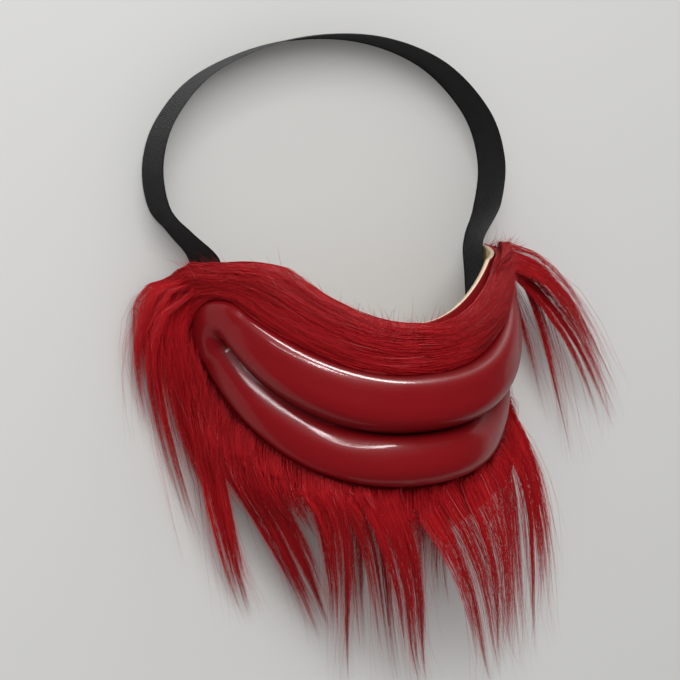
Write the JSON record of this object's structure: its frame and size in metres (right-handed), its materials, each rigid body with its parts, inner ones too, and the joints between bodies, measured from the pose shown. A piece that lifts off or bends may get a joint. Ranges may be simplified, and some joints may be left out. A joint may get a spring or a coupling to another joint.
{
  "type": "latex lips half mask",
  "caption": "Novelty half mask of thin latex with giant glossy red smiling lips, red long-pile fur glued above and below them, and a black elastic head strap.",
  "frame": {"origin": "middle of the footprint of the whole mask, on the surface that it lies on", "axes": "+Z the way the mouth faces, which is up as it lies; +Y from the mouth towards the strap, the wearer's up; +X the wearer's left"},
  "size_m": [0.2722, 0.3336, 0.0935],
  "materials": {
    "latex": "red paint on slip-cast latex, glossy over the lips, bare cream latex inside and along the cut edge",
    "fur": "long straight acrylic fake fur with pale glints, combed into locks",
    "elastic": "matte black ribbed woven elastic"
  },
  "bodies": {
    "root": {"latex_shell": "latex", "upper_fur": "fur", "lower_fur": "fur", "elastic_strap": "elastic"}
  },
  "joints": []
}
